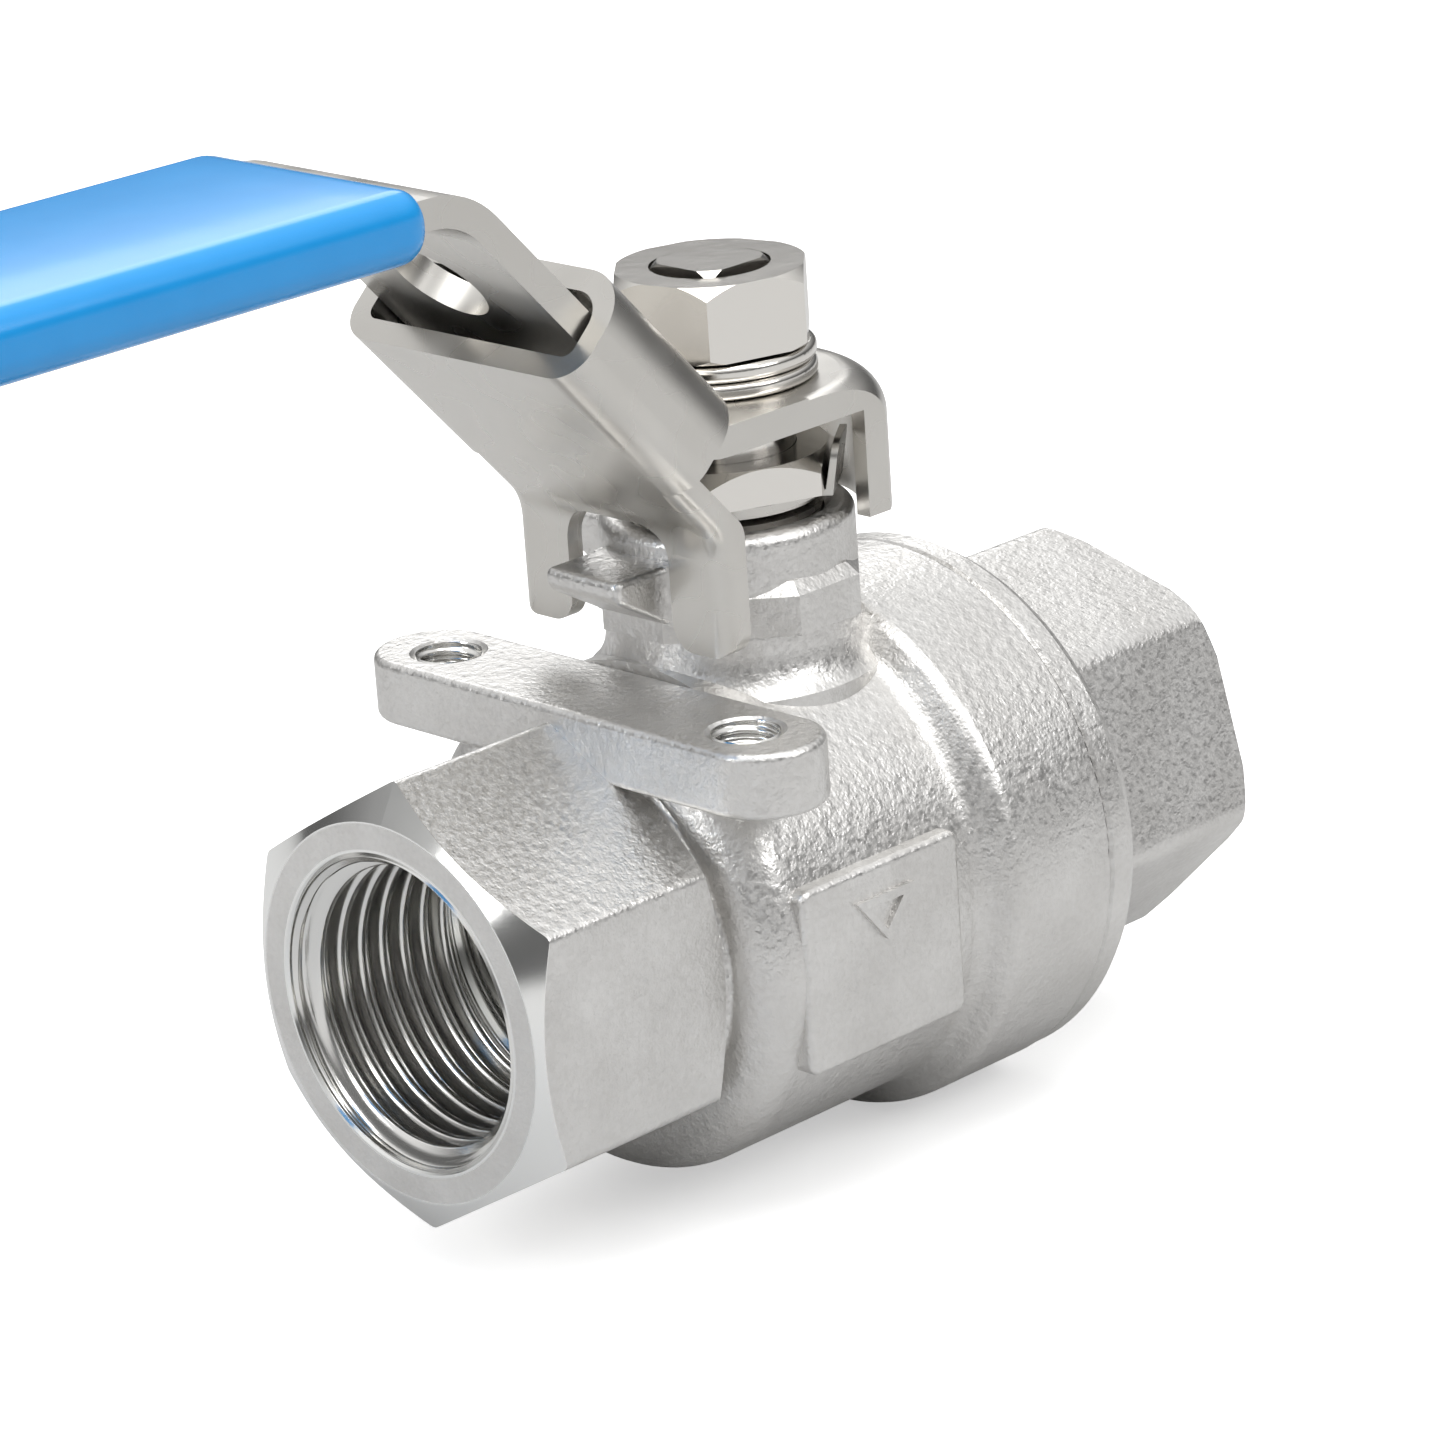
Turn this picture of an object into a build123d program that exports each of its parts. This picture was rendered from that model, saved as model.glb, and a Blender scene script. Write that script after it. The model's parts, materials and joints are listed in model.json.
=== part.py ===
from build123d import *
import os

os.makedirs("parts", exist_ok=True)

# Two-piece water shutoff valve, half-inch female threads, lever with a locking sleeve.
# Frame: origin at the centre of the body port's mouth, +X out of that port, +Z up the stem.

# ---- flow line ----
STEM_X = -32.0            # stem axis, seen along the pipe from the body port
OVERALL = 67.5            # face to face
THREAD_R = 10.48          # pipe thread, major radius
THREAD_DEPTH = 14.5
PORT_R = 7.5
MOUTH_R = 10.78           # countersunk mouth of each thread
FACE_R = 12.8             # turned flat on the end of the hexagon
FACE_BEVEL = 1.5          # length of the cone outside that flat

# ---- body ----
HEX_AF = 26.7
HEX_END = -16.2
GROOVE_R = 13.2           # soft groove between hexagon and barrel
BARREL_R = 16.95
COLLAR_R = 18.85
COLLAR_START = -38.4
SEAM_X = -47.3
CAVITY_R = 12.7
SPIGOT_R = 15.1
SPIGOT_X = -39.9

# ---- end cap ----
CAP_AF = 25.6
CAP_TWIST = 14.5          # the cap's flats, turned from the body's by how far it screws in
CAP_RING_END = -50.2

# ---- ball and seats ----
BALL_R = 12.2
SEAT_OUT = 11.2
SEAT_FRONT = 7.0
SEAT_BACK = 13.0

# ---- neck ----
NECK_R = 8.5
NECK_TOP = 25.7
PACKING_R = 6.5
PACKING_FLOOR = 18.6
COLLAR_LOW = 18.9
COLLAR_HIGH = 22.4
LUG_HALF = 3.35
LUG_TOP = 24.2
LUG_R = 9.6

# ---- mounting bar ----
BAR_X = STEM_X + 13.05
BAR_TOP = 16.4
BAR_THICK = 4.4
BAR_WIDTH = 8.3
BAR_LENGTH = 38.8
BAR_HOLE_Y = 13.9
BAR_HOLE_R = 2.25
WEB_HALF = 7.6            # half length of the web that joins the bar to the barrel

# ---- side pad ----
PAD_LEFT = -19.8
PAD_RIGHT = -34.4
PAD_LOW = -7.0
PAD_HIGH = 5.7
PAD_FACE = 17.15

# ---- stem ----
STEM_R = 4.9
SQUARE_AF = 5.9
TIP_R = 3.95
STEM_TOP = 42.3
TAB_LOW = 26.78
TAB_TOP = 30.4
TAB_HALF = 2.6
RING_Z = 17.0             # middle of the O-ring groove

# ---- lever ----
PLATE_LOW = 32.3
PLATE_TOP = 34.3
STRAP_HALF = 8.9
GRIP_LOW = 52.3
GRIP_TOP = 54.3
LEVER_END = 103.0
REAR_R = 10.95            # rear end of the plate, round about the stem
STOP_Y = -3.0             # the stop tab runs from here to the plate's near edge
STOP_X = -4.4             # its end, from the stem
STOP_LOW = 25.0
STOP_INNER = 8.9
SLOPE = 47.5              # angle of the raised part, degrees
STRAP_MID = 14.9          # distance of the sloping strap's middle from the stem's foot
HOLE_S = 49.7             # padlock hole, measured up the slope
HOLE_R = 3.5

# ---- locking sleeve ----
SLEEVE_LOW = 32.2
SLEEVE_HIGH = 45.6
SLEEVE_WIDE = 21.8
SLEEVE_DEEP = 7.9
TUBE_WALL = 1.6
SHEET = 1.3               # front plate
CHANNEL = 1.9             # depth of the front plate's turned-in sides
LEG_FRONT = 10.0
LEG_HALF = 9.9
LEG_FOOT = 19.2
LEG_GAP = 4.7             # half width of the gap between the feet
GAP_TOP = 27.4

UP_SLOPE = Vector(1, 0, 0).rotate(Axis.Y, -SLOPE)
OUT_SLOPE = Vector(0, 0, 1).rotate(Axis.Y, -SLOPE)


def slope_point(along, away):
    """X and Z of a point on the sloping strap: along it, and away from the stem's foot."""
    x = STEM_X + along * UP_SLOPE.X + away * OUT_SLOPE.X
    z = along * UP_SLOPE.Z + away * OUT_SLOPE.Z
    return (x, z)


def slope_plane(along):
    """Plane square to the sloping strap, with its x along Y."""
    origin = (STEM_X + along * UP_SLOPE.X, 0, along * UP_SLOPE.Z)
    return Plane(origin=origin, x_dir=(0, 1, 0), z_dir=UP_SLOPE)


def rod_x(x0, x1, radius):
    length = abs(x1 - x0)
    return Pos((x0 + x1) / 2, 0, 0) * Rot(0, 90, 0) * Cylinder(radius, length)


def rod_z(z0, z1, radius, x=STEM_X, y=0):
    return Pos(x, y, (z0 + z1) / 2) * Cylinder(radius, z1 - z0)


def ring_z(z0, z1, outer, inner):
    return rod_z(z0, z1, outer) - rod_z(z0 - 1, z1 + 1, inner)


def block(x0, x1, y0, y1, z0, z1):
    centre = Pos((x0 + x1) / 2, (y0 + y1) / 2, (z0 + z1) / 2)
    return centre * Box(abs(x1 - x0), abs(y1 - y0), abs(z1 - z0))


def turned_x(points, rounds=()):
    """Solid turned about the pipe axis from (x, radius) points; rounds holds (point number, radius)."""
    outline = make_face(Polyline([(x, 0, r) for x, r in points], close=True))
    for number, radius in rounds:
        x, r = points[number]
        corner = outline.vertices().sort_by_distance((x, 0, r))[0]
        outline = fillet(corner, radius)
    return revolve(outline, axis=Axis.X)


def turned_z(points):
    """Ring turned about the stem from (radius, z) points."""
    outline = Polyline([(STEM_X + r, 0, z) for r, z in points], close=True)
    stem_axis = Axis((STEM_X, 0, 0), (0, 0, 1))
    return revolve(make_face(outline), axis=stem_axis)


def hex_x(x0, x1, across, turn, corner):
    radius = across / 2 / 0.8660254
    flats = Plane.YZ.offset(x0) * RegularPolygon(radius, 6, rotation=90 + turn)
    bar = extrude(flats, x1 - x0)
    return fillet(bar.edges().filter_by(Axis.X), corner)


def hex_z(z0, z1, across, turn):
    radius = across / 2 / 0.8660254
    flats = Pos(STEM_X, 0, z0) * RegularPolygon(radius, 6, rotation=turn)
    return extrude(flats, z1 - z0)


# ---------------------------------------------------------------- valve body

def hexagon_end():
    bar = hex_x(0, HEX_END, HEX_AF, 0, 0.7)
    corner = HEX_AF / 2 / 0.8660254
    turned = turned_x(
        [
            (0, 0),
            (0, FACE_R),
            (-FACE_BEVEL, corner),
            (HEX_END + 1.2, corner),
            (HEX_END, GROOVE_R),
            (HEX_END, 0),
        ]
    )
    return bar & turned


def barrel():
    """Turned outside of the body: groove behind the hexagon, barrel, ramp, collar at the seam."""
    return turned_x(
        [
            (HEX_END + 2, 0),
            (HEX_END + 2, GROOVE_R),
            (HEX_END - 0.5, GROOVE_R),
            (HEX_END - 0.7, BARREL_R),
            (COLLAR_START + 1.9, BARREL_R),
            (COLLAR_START + 0.3, COLLAR_R),
            (SEAM_X, COLLAR_R),
            (SEAM_X, 0),
        ],
        [(3, 3.2), (2, 0.4), (4, 1.6), (5, 1.2), (6, 0.3)],
    )


def neck():
    tower = rod_z(10, NECK_TOP, NECK_R)
    return fillet(tower.edges().sort_by(Axis.Z)[-1], 0.9)


def neck_collar():
    """Eight-sided collar: long faces at 45 degrees, short ones square to the pipe."""
    wide = 9.15
    short = 2.8
    corners = [
        (wide, short),
        (short, wide),
        (-short, wide),
        (-wide, short),
        (-wide, -short),
        (-short, -wide),
        (short, -wide),
        (wide, -short),
    ]
    face = Pos(STEM_X, 0, COLLAR_LOW) * make_face(Polyline(corners, close=True))
    collar = extrude(face, COLLAR_HIGH - COLLAR_LOW)
    return chamfer(collar.edges().group_by(Axis.Z)[-1], 0.8)


def stop_lug(turn):
    """Wedge-shaped lug on the neck, on the +X side before it is turned about the stem."""
    side = Polyline((6, 19.0), (8.4, 19.9), (13.5, 22.9), (13.5, LUG_TOP), (6, LUG_TOP), close=True)
    wedge = extrude(Plane.XZ * make_face(side), LUG_HALF, both=True)
    lug = wedge & (Pos(0, 0, 22) * Cylinder(LUG_R, 12))
    return Pos(STEM_X, 0, 0) * Rot(0, 0, turn) * lug


def bar_outline(z):
    return Pos(BAR_X, 0, z) * SlotOverall(BAR_LENGTH, BAR_WIDTH, rotation=90)


def mounting_bar():
    bar = fillet(extrude(bar_outline(BAR_TOP - BAR_THICK), BAR_THICK).edges(), 0.5)
    web = Pos(BAR_X, 0, 11) * Box(BAR_WIDTH - 1.4, 2 * WEB_HALF, 8)
    web = fillet(web.edges().filter_by(Axis.Z), 2.6)
    return bar + web


def thread_mouth(face_x, side):
    """Countersink at a port; side is +1 where the port opens towards +X."""
    proud = 0.5
    slope = MOUTH_R - THREAD_R
    return turned_x(
        [
            (face_x + side * proud, 0),
            (face_x + side * proud, MOUTH_R + proud),
            (face_x - side * slope, THREAD_R),
            (face_x - side * slope, 0),
        ]
    )


def body_cavity():
    bore = rod_x(5, SEAM_X - 5, PORT_R)
    thread = rod_x(1, -THREAD_DEPTH, THREAD_R)
    mouth = thread_mouth(0, 1)
    seat = rod_x(STEM_X + SEAT_BACK + 0.05, STEM_X, SEAT_OUT + 0.05)
    chamber = rod_x(STEM_X + 9.0, SPIGOT_X, CAVITY_R)
    socket = rod_x(SPIGOT_X, SEAM_X - 5, SPIGOT_R + 0.05)
    return bore + thread + mouth + seat + chamber + socket


def neck_bore():
    shaft = rod_z(5, 30, STEM_R + 0.1)
    shoulder = rod_z(5, 15.25, 6.4)
    packing = rod_z(PACKING_FLOOR, 30, PACKING_R)
    lead_in = Pos(STEM_X, 0, NECK_TOP - 0.25) * Cone(PACKING_R, PACKING_R + 0.55, 0.55)
    return shaft + shoulder + packing + lead_in


def side_pad():
    """Blank flat pad on the barrel's side, its rim rounded."""
    pad = block(PAD_LEFT, PAD_RIGHT, 12, PAD_FACE, PAD_LOW, PAD_HIGH)
    pad = fillet(pad.edges().filter_by(Axis.Y), 0.8)
    return fillet(pad.faces().sort_by(Axis.Y)[-1].edges(), 0.45)


def flow_mark():
    """Plain raised triangle on the pad, its point downwards."""
    outline = Plane.XZ * make_face(Polyline((-24.4, 3.6), (-29.8, 3.6), (-27.1, 0.4), close=True))
    inner = Plane.XZ * make_face(Polyline((-25.5, 3.0), (-28.7, 3.0), (-27.1, 1.1), close=True))
    return extrude(outline - inner, -(PAD_FACE + 0.3)) - block(-40, -10, -1, PAD_FACE - 1, -5, 5)


def neck_foot():
    """Cast flare that runs the neck into the barrel."""
    wide = NECK_R + 1.3
    low = 14.9
    high = 17.6
    wall = Polyline((STEM_X, 0, high), (STEM_X, 0, 10), (STEM_X + wide, 0, 10), (STEM_X + wide, 0, low))
    flare = ThreePointArc(
        (STEM_X + wide, 0, low),
        (STEM_X + NECK_R + 0.35, 0, 16.1),
        (STEM_X + NECK_R, 0, high),
    )
    top = Line((STEM_X + NECK_R, 0, high), (STEM_X, 0, high))
    return revolve(make_face(wall + flare + top), axis=Axis((STEM_X, 0, 0), (0, 0, 1)))


def valve_body():
    metal = hexagon_end() + barrel() - extrude(bar_outline(BAR_TOP - 0.5), 3)
    metal = metal + neck() + neck_foot() + neck_collar()
    metal = metal + stop_lug(0) + stop_lug(-90)
    metal = metal + mounting_bar()
    metal = metal + side_pad() + flow_mark()
    metal = metal - body_cavity() - neck_bore()
    for y in (BAR_HOLE_Y, -BAR_HOLE_Y):
        sink = Pos(BAR_X, y, BAR_TOP - 0.2) * Cone(BAR_HOLE_R, BAR_HOLE_R + 0.4, 0.4)
        metal = metal - rod_z(BAR_TOP - BAR_THICK - 0.1, BAR_TOP + 1, BAR_HOLE_R, BAR_X, y) - sink
    return metal


# ---------------------------------------------------------------- end cap, seals, ball

def end_cap():
    flats = hex_x(CAP_RING_END + 1, -OVERALL, CAP_AF, CAP_TWIST, 1.6)
    turned = turned_x(
        [
            (CAP_RING_END + 1, 0),
            (CAP_RING_END + 1, 15.5),
            (-OVERALL + 1.6, 15.5),
            (-OVERALL + 0.6, 14.3),
            (-OVERALL, 13.4),
            (-OVERALL, 0),
        ]
    )
    ring = turned_x(
        [
            (SEAM_X - 0.15, 0),
            (SEAM_X - 0.15, COLLAR_R - 0.35),
            (SEAM_X - 0.4, COLLAR_R - 0.1),
            (CAP_RING_END + 0.9, COLLAR_R - 0.1),
            (CAP_RING_END + 0.2, COLLAR_R - 0.5),
            (CAP_RING_END, COLLAR_R - 1.2),
            (CAP_RING_END, 0),
        ]
    )
    spigot = rod_x(SPIGOT_X - 1.05, SEAM_X - 1, SPIGOT_R)
    port = rod_x(-30, -OVERALL - 5, PORT_R)
    seat = rod_x(-30, STEM_X - SEAT_BACK - 0.05, SEAT_OUT + 0.05)
    thread = rod_x(-OVERALL - 1, -OVERALL + THREAD_DEPTH, THREAD_R)
    return (flats & turned) + ring + spigot - port - seat - thread - thread_mouth(-OVERALL, -1)


def body_gasket():
    return rod_x(SPIGOT_X - 0.03, SPIGOT_X - 1.02, SPIGOT_R) - rod_x(-35, -45, 12.9)


def seat(side):
    """Seat ring with a spherical face towards the ball; side is +1 in the body, -1 in the cap."""
    front = STEM_X + side * SEAT_FRONT
    back = STEM_X + side * SEAT_BACK
    ring = rod_x(front, back, SEAT_OUT) - rod_x(front - side, back + side, PORT_R + 0.1)
    return ring - Pos(STEM_X, 0, 0) * Rot(0, 0, 90) * Sphere(BALL_R + 0.05)


def ball():
    sphere = Pos(STEM_X, 0, 0) * Sphere(BALL_R)
    slot = block(STEM_X - 2.6, STEM_X + 2.6, -10, 10, 9.1, 14)
    return sphere - rod_x(STEM_X - 15, STEM_X + 15, PORT_R) - slot


def stem():
    tang = block(STEM_X - 2.5, STEM_X + 2.5, -4.6, 4.6, 9.3, 12.7)
    tang = tang & rod_z(9, 13, 5.6)
    shoulder = rod_z(12.6, 14.3, 6.2)
    shaft = rod_z(14, PLATE_LOW, STEM_R)
    half = SQUARE_AF / 2
    square = block(STEM_X - half, STEM_X + half, -half, half, PLATE_LOW - 1, STEM_TOP)
    tip = rod_z(PLATE_LOW - 1, STEM_TOP, TIP_R)
    tip = chamfer(tip.edges().sort_by(Axis.Z)[-1], 0.5)
    groove = ring_z(RING_Z - 0.65, RING_Z + 0.65, STEM_R + 1, STEM_R - 1.05)
    return tang + shoulder + shaft + (square & tip) - groove


def stem_o_ring():
    return Pos(STEM_X, 0, RING_Z) * Torus(STEM_R - 0.5, 0.54)


def thrust_washer():
    return ring_z(14.35, 15.2, 6.3, STEM_R + 0.1)


def packing_ring(level):
    """Chevron packing ring; level counts up from the chamber's floor."""
    low = PACKING_FLOOR + 0.02 + level * 1.34
    high = low + 1.3
    inner = STEM_R + 0.06
    outer = PACKING_R - 0.03
    middle = (inner + outer) / 2
    vee = 0.45
    return turned_z(
        [
            (inner, low + vee),
            (middle, low),
            (outer, low + vee),
            (outer, high),
            (middle, high - vee),
            (inner, high),
        ]
    )


def packing_gland():
    low = PACKING_FLOOR + 4.2
    sleeve = turned_z([(5.0, low + 0.5), (5.7, low), (6.4, low + 0.5), (6.4, 25.4), (5.0, 25.4)])
    return sleeve


def disc_spring(low, flip):
    inner = 5.05
    outer = 6.4
    rise = 0.22
    if flip:
        return turned_z([(inner, low), (outer, low + rise), (outer, low + rise + 0.4), (inner, low + 0.4)])
    return turned_z([(inner, low + rise), (outer, low), (outer, low + 0.4), (inner, low + rise + 0.4)])


# ---------------------------------------------------------------- turning stack

def tab_washer():
    """Washer keyed to the stem, with one tab bent up against a flat of the gland nut."""
    disc = ring_z(TAB_LOW, TAB_LOW + 0.42, 7.0, STEM_R + 0.05)
    bent = Polyline(
        (6.2, TAB_LOW),
        (7.5, TAB_LOW),
        (8.1, TAB_TOP),
        (7.66, TAB_TOP),
        (7.06, TAB_LOW + 0.42),
        (6.2, TAB_LOW + 0.42),
        close=True,
    )
    tab = extrude(Plane.XZ * make_face(bent), TAB_HALF, both=True)
    tab = fillet(tab.edges().filter_by(Axis.Y, reverse=True).group_by(Axis.Z)[-1], 1.2)
    return disc + Pos(STEM_X, 0, 0) * Rot(0, 0, 127) * tab


def gland_nut():
    low = TAB_LOW + 0.44
    body = hex_z(low, low + 2.5, 14.0, 37)
    cone = Pos(STEM_X, 0, low + 1.6) * Cone(9.7, 6.2, 3.2)
    return (body & cone) - rod_z(20, 35, STEM_R + 0.05)


def handle_nut():
    low = 36.85
    high = 41.95
    body = hex_z(low, high, 12.3, 43)
    top = Pos(STEM_X, 0, high - 2.9) * Cone(12.1, 6.3, 5.8)
    base = Pos(STEM_X, 0, low + 2.9) * Cone(6.6, 14.6, 5.8)
    return (body & top & base) - rod_z(30, 45, TIP_R + 0.05)


def spring_washer(low):
    """Split lock washer of rounded section, cut through at a slant."""
    ring = ring_z(low, low + 1.15, 6.65, TIP_R + 0.15)
    rims = ring.edges().filter_by(GeomType.CIRCLE).sort_by(SortBy.RADIUS)[-2:]
    ring = fillet(rims, 0.45)
    cut = Pos(5.4, 0, low + 0.6) * Rot(25, 0, 0) * Box(4, 0.5, 4)
    return ring - Pos(STEM_X, 0, 0) * Rot(0, 0, 205) * cut


def spring_washers():
    return Compound(children=[spring_washer(PLATE_TOP + 0.02), spring_washer(PLATE_TOP + 1.22)])


# ---------------------------------------------------------------- lever and grip

def strap():
    low1 = slope_cross(PLATE_LOW, STRAP_MID - 1)
    top1 = slope_cross(PLATE_TOP, STRAP_MID + 1)
    low2 = slope_cross(GRIP_LOW, STRAP_MID - 1)
    top2 = slope_cross(GRIP_TOP, STRAP_MID + 1)
    start = STEM_X + 0.6
    end = STEM_X + LEVER_END
    outline = Polyline(
        (start, PLATE_LOW),
        (low1, PLATE_LOW),
        (low2, GRIP_LOW),
        (end, GRIP_LOW),
        (end, GRIP_TOP),
        (top2, GRIP_TOP),
        (top1, PLATE_TOP),
        (start, PLATE_TOP),
        close=True,
    )
    bar = extrude(Plane.XZ * make_face(outline), STRAP_HALF, both=True)
    bar = round_at(bar, low1, PLATE_LOW, 6.0)
    bar = round_at(bar, top1, PLATE_TOP, 4.0)
    bar = round_at(bar, low2, GRIP_LOW, 5.0)
    bar = round_at(bar, top2, GRIP_TOP, 7.0)
    tips = bar.edges().filter_by(Axis.Z).sort_by(Axis.X)[-2:]
    return fillet(tips, 6.0)


def slope_cross(z, away):
    """X where a line at that distance from the stem's foot crosses a level."""
    return STEM_X + (z * OUT_SLOPE.Z - away) / -OUT_SLOPE.X


def round_at(solid, x, z, radius):
    near = solid.edges().filter_by(Axis.Y).sort_by_distance((x, 0, z))
    return fillet(near[0], radius)


def plate_end():
    """Rear end of the lever's plate, drawn down on the near side as a stop tab round the neck."""
    drawn = rod_z(STOP_LOW, PLATE_TOP, REAR_R)
    drawn = fillet(drawn.edges().sort_by(Axis.Z)[-1], 2.9)
    rear = STEM_X - REAR_R - 1
    plate = drawn & block(rear, STEM_X + 2, -STRAP_HALF, STRAP_HALF, PLATE_LOW, PLATE_TOP)
    stop = drawn & block(rear, STEM_X + STOP_X, STOP_Y, STRAP_HALF, STOP_LOW, PLATE_TOP)
    return plate + stop - rod_z(STOP_LOW - 1, PLATE_LOW, STOP_INNER)


def lever():
    half = SQUARE_AF / 2 + 0.05
    square = block(STEM_X - half, STEM_X + half, -half, half, 30, 36) & rod_z(30, 36, TIP_R + 0.08)
    x, z = slope_point(HOLE_S, STRAP_MID)
    padlock = Pos(x, 0, z) * Rot(0, -SLOPE, 0) * Cylinder(HOLE_R, 8)
    return strap() + plate_end() - square - padlock


def grip():
    x0 = STEM_X + 32.4
    x1 = STEM_X + LEVER_END + 1.5
    sheath = block(x0, x1, -10.3, 10.3, GRIP_LOW - 1.6, GRIP_TOP + 1.05)
    sheath = fillet(sheath.edges().filter_by(Axis.Z).sort_by(Axis.X)[-2:], 7.0)
    sheath = fillet(sheath.edges().filter_by(Axis.Z).sort_by(Axis.X)[:2], 1.6)
    sheath = fillet(sheath.edges().group_by(Axis.Z)[-1], 1.4)
    sheath = fillet(sheath.edges().group_by(Axis.Z)[0], 1.4)
    return sheath - strap()


# ---------------------------------------------------------------- locking sleeve

def tube_section(inset):
    """Closed section of the tube: tight corners in front, full round ones behind."""
    wide = SLEEVE_WIDE - 2 * inset
    deep = SLEEVE_DEEP - 2 * inset
    section = Pos(0, STRAP_MID) * Rectangle(wide, deep)
    front, back = section.vertices().group_by(Axis.Y)
    section = fillet(back, SLEEVE_DEEP / 2 - inset - 0.05)
    front = section.vertices().group_by(Axis.Y)[0]
    return fillet(front, 2.4 - inset)


def sleeve_tube():
    ring = tube_section(0) - tube_section(TUBE_WALL)
    return extrude(slope_plane(SLEEVE_LOW) * ring, SLEEVE_HIGH - SLEEVE_LOW)


def front_wall(depth, half):
    """The sleeve's front plate as a bent band of that depth, from inside the tube to the feet."""
    outer = STRAP_MID - SLEEVE_DEEP / 2
    x_out = STEM_X + LEG_FRONT
    x_in = x_out - depth
    z_out = (outer - LEG_FRONT * OUT_SLOPE.X) / OUT_SLOPE.Z
    z_in = (outer + depth - (LEG_FRONT - depth) * OUT_SLOPE.X) / OUT_SLOPE.Z
    top_out = slope_point(SLEEVE_LOW + 1, outer)
    top_in = slope_point(SLEEVE_LOW + 1, outer + depth)
    outline = Polyline(
        top_out,
        (x_out, z_out),
        (x_out, LEG_FOOT),
        (x_in, LEG_FOOT),
        (x_in, z_in),
        top_in,
        close=True,
    )
    plate = extrude(Plane.XZ * make_face(outline), half, both=True)
    plate = round_at(plate, x_out, z_out, 2.4 + SHEET)
    return round_at(plate, x_in, z_in, 2.4 + SHEET - depth)


def feet_outline():
    """The front plate seen along the pipe: two rounded feet with a gap for the lug between them."""
    high = 60
    sheet = Pos(0, (LEG_FOOT + high) / 2) * Rectangle(2 * LEG_HALF, high - LEG_FOOT)
    gap = Pos(0, (LEG_FOOT + GAP_TOP) / 2) * Rectangle(2 * LEG_GAP, GAP_TOP - LEG_FOOT)
    outline = sheet - gap
    outline = fillet(outline.vertices().group_by(Axis.Y)[0], 1.8)
    crown = [v for v in outline.vertices() if abs(v.Y - GAP_TOP) < 0.01]
    return fillet(crown, 2.4)


def sleeve_front():
    """Front plate, a shallow channel with rounded sides, forked over the lug."""
    inner = LEG_HALF - SHEET
    channel = front_wall(CHANNEL, LEG_HALF)
    upright = channel.edges().filter_by(Axis.Z).group_by(Axis.X)[-1]
    channel = fillet(upright, 1.6)
    hollow = front_wall(CHANNEL + 1, inner) - front_wall(SHEET, inner)
    feet = extrude(Plane.YZ.offset(STEM_X + LEG_FRONT - 4) * feet_outline(), 40)
    return (channel - hollow) & feet


def lock_sleeve():
    return sleeve_tube() + sleeve_front()


PARTS = {
    "valve_body": valve_body,
    "end_cap": end_cap,
    "body_gasket": body_gasket,
    "body_seat": lambda: seat(1),
    "cap_seat": lambda: seat(-1),
    "ball": ball,
    "stem": stem,
    "thrust_washer": thrust_washer,
    "stem_o_ring": stem_o_ring,
    "packing_ring_lower": lambda: packing_ring(0),
    "packing_ring_middle": lambda: packing_ring(1),
    "packing_ring_upper": lambda: packing_ring(2),
    "packing_gland": packing_gland,
    "disc_spring_lower": lambda: disc_spring(25.45, False),
    "disc_spring_upper": lambda: disc_spring(26.1, True),
    "tab_washer": tab_washer,
    "gland_nut": gland_nut,
    "lever": lever,
    "grip": grip,
    "spring_washers": spring_washers,
    "handle_nut": handle_nut,
    "lock_sleeve": lock_sleeve,
}

for name, make in PARTS.items():
    export_step(make(), f"parts/{name}.step")
    print(name)
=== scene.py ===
"""Half-inch water shutoff valve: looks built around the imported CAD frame."""

import json
import math

import bpy
import numpy as np
from bpy.props import FloatProperty, PointerProperty
from mathutils import Matrix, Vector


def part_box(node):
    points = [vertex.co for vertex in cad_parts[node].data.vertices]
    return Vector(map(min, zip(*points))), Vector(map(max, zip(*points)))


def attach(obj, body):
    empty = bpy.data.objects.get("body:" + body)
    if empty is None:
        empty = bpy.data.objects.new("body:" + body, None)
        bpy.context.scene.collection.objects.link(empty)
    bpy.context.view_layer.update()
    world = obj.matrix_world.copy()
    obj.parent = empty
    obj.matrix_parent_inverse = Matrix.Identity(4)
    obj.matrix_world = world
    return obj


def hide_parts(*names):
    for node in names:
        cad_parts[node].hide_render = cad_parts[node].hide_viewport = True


bl_info = {
    "name": "Water shutoff valve",
    "version": (1, 0, 0),
    "blender": (4, 5, 0),
    "location": "View3D > Sidebar > Valve",
    "description": "Threads, grip, lug tips, finishes and studio for a half-inch shutoff valve",
    "category": "Object",
}

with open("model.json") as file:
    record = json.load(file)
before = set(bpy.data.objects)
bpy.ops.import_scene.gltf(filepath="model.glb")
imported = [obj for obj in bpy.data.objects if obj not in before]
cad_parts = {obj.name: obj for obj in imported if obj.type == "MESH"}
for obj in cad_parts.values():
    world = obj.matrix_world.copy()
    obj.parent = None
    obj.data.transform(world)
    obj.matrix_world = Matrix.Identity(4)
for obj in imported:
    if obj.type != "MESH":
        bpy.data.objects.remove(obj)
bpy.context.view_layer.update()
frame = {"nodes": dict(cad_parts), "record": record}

MM = 0.001
BODY_LOW, BODY_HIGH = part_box("valve_body")
CAP_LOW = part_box("end_cap")[0]
STEM_LOW, STEM_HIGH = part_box("stem")
GRIP_LOW, GRIP_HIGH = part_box("grip")
STEM_X = (STEM_LOW.x + STEM_HIGH.x) / 2
MOUNTS = {mount["name"]: mount for mount in frame["record"]["mounts"]}
PORT_R = MOUNTS["body_port_thread"]["dims"]["r_mm"] * MM
EAR_R = MOUNTS["actuator_bar_holes"]["dims"]["hole_r_mm"] * MM
EAR_SPACING = MOUNTS["actuator_bar_holes"]["dims"]["spacing_y_mm"] * MM
EAR_X = MOUNTS["actuator_bar_holes"]["pos_m"][0]
EAR_TOP = 16.4 * MM

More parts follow.
